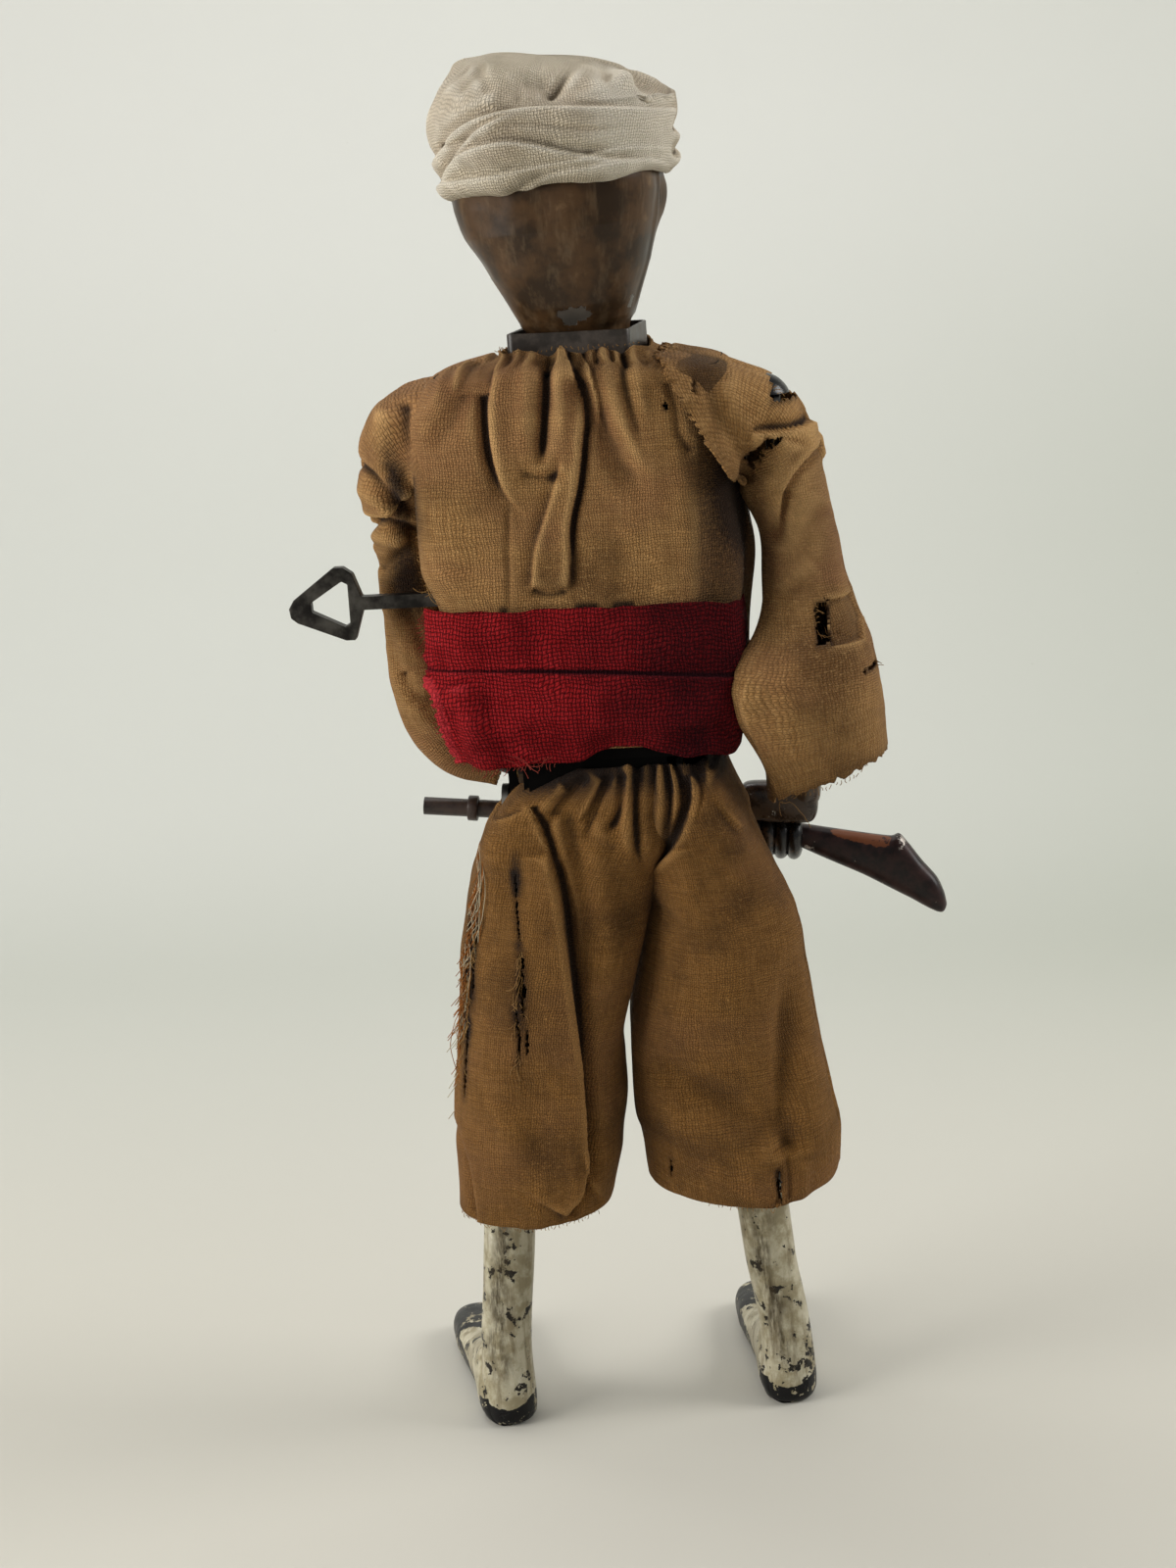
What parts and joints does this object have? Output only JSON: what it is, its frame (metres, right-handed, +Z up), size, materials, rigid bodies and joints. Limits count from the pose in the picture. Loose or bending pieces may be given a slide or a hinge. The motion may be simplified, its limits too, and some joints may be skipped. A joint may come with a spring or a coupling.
{
  "type": "clockwork walking figure",
  "caption": "Dressed tin clockwork figure of a turbaned soldier that holds a gun, with a side winding key, swinging legs and swinging arms.",
  "frame": {"origin": "on the floor plane between the feet, straight below the middle of the body", "axes": "+Z up, the figure faces -Y, +X towards its own left side and the winding key"},
  "size_m": [0.0959, 0.0562, 0.2072],
  "materials": {
    "brass": "dull aged brass",
    "steel": "dull steel",
    "dark_steel": "blackened steel",
    "black_enamel": "black enamel on tin",
    "brown_paint": "brown paint on tin, chipped",
    "cream_paint": "cream paint on tin, chipped",
    "stock_paint": "brown paint, worn at the edges",
    "jacket_cloth": "plain cotton",
    "trouser_cloth": "plain cotton",
    "sash_cloth": "coarse cotton",
    "gauze": "open gauze",
    "shoe_black": "black enamel on cast metal"
  },
  "bodies": {
    "figure": {"left_side_plate": "brass", "right_side_plate": "brass", "frame_pillars": "brass", "pillar_nuts": "steel", "bottom_bridge": "black_enamel", "spring_post": "steel", "mainspring": "dark_steel", "hip_axle": "steel", "body_back_cover": "black_enamel", "body_front_cover": "black_enamel", "body_top_plate": "black_enamel", "shoulder_studs": "steel", "neck_collar": "black_enamel", "head_back_shell": "brown_paint", "head_front_shell": "brown_paint", "turban": "gauze", "jacket": "jacket_cloth", "sash": "sash_cloth"},
    "winding": {"winding_key": "dark_steel", "key_arbor": "steel", "ratchet_wheel": "steel"},
    "great_wheel": {"great_wheel": "brass", "click_rivet": "steel", "click_spring": "steel"},
    "click": {"click": "steel"},
    "crankshaft": {"crank_arbor": "steel", "crank_pinion": "steel", "left_crank": "steel", "right_crank": "steel"},
    "second_wheel": {"second_arbor": "steel", "second_wheel": "brass", "second_pinion": "steel"},
    "governor": {"governor_arbor": "steel", "governor_pinion": "steel", "governor_fan": "brass"},
    "left_leg": {"left_leg_lever": "steel", "left_leg_tube": "cream_paint", "left_shoe": "shoe_black", "left_instep": "cream_paint", "left_trouser": "trouser_cloth"},
    "right_leg": {"right_leg_lever": "steel", "right_leg_tube": "cream_paint", "right_shoe": "shoe_black", "right_instep": "cream_paint", "right_trouser": "trouser_cloth"},
    "arms": {"left_shoulder_cap": "black_enamel", "left_upper_arm": "dark_steel", "left_forearm": "dark_steel", "left_hand": "dark_steel", "left_sleeve": "jacket_cloth", "right_shoulder_cap": "black_enamel", "right_upper_arm": "dark_steel", "right_forearm": "dark_steel", "right_hand": "dark_steel", "right_sleeve": "jacket_cloth", "gun_barrel": "dark_steel", "gun_stock": "stock_paint", "gun_bands": "steel", "trigger_guard": "dark_steel", "gun_lock": "dark_steel"}
  },
  "joints": [
    {"name": "key_turn", "type": "hinge", "parent": "figure", "child": "winding", "pos_m": [0, 0, 0.1292], "axis": [1, 0, 0], "continuous": true},
    {"name": "great_wheel_turn", "type": "hinge", "parent": "figure", "child": "great_wheel", "pos_m": [0, 0, 0.1292], "axis": [1, 0, 0], "continuous": true},
    {"name": "click_lift", "type": "hinge", "parent": "great_wheel", "child": "click", "pos_m": [0.00495, 0.0082, 0.1292], "axis": [-1, 0, 0], "range_deg": [0, 6], "stiffness_Nm_per_rad": 0.0005},
    {"name": "crank_turn", "type": "hinge", "parent": "figure", "child": "crankshaft", "pos_m": [0, 0, 0.1157], "axis": [1, 0, 0], "continuous": true},
    {"name": "second_wheel_turn", "type": "hinge", "parent": "figure", "child": "second_wheel", "pos_m": [0, 0, 0.1427], "axis": [1, 0, 0], "continuous": true},
    {"name": "governor_turn", "type": "hinge", "parent": "figure", "child": "governor", "pos_m": [0, 0, 0.1541], "axis": [1, 0, 0], "continuous": true},
    {"name": "left_leg_swing", "type": "hinge", "parent": "figure", "child": "left_leg", "pos_m": [0.0137, 0, 0.098], "axis": [-1, 0, 0], "range_deg": [-8, 12]},
    {"name": "right_leg_swing", "type": "hinge", "parent": "figure", "child": "right_leg", "pos_m": [-0.0137, 0, 0.098], "axis": [-1, 0, 0], "range_deg": [-12, 8]},
    {"name": "arms_swing", "type": "hinge", "parent": "figure", "child": "arms", "pos_m": [0, 0, 0.1555], "axis": [-1, 0, 0], "range_deg": [-2, 16]}
  ],
  "couplings": [
    {"joint": "crank_turn", "follows": "great_wheel_turn", "ratio": -3.5},
    {"joint": "second_wheel_turn", "follows": "great_wheel_turn", "ratio": -3.5},
    {"joint": "governor_turn", "follows": "great_wheel_turn", "ratio": 13.125},
    {"joint": "right_leg_swing", "follows": "left_leg_swing", "ratio": -1}
  ]
}
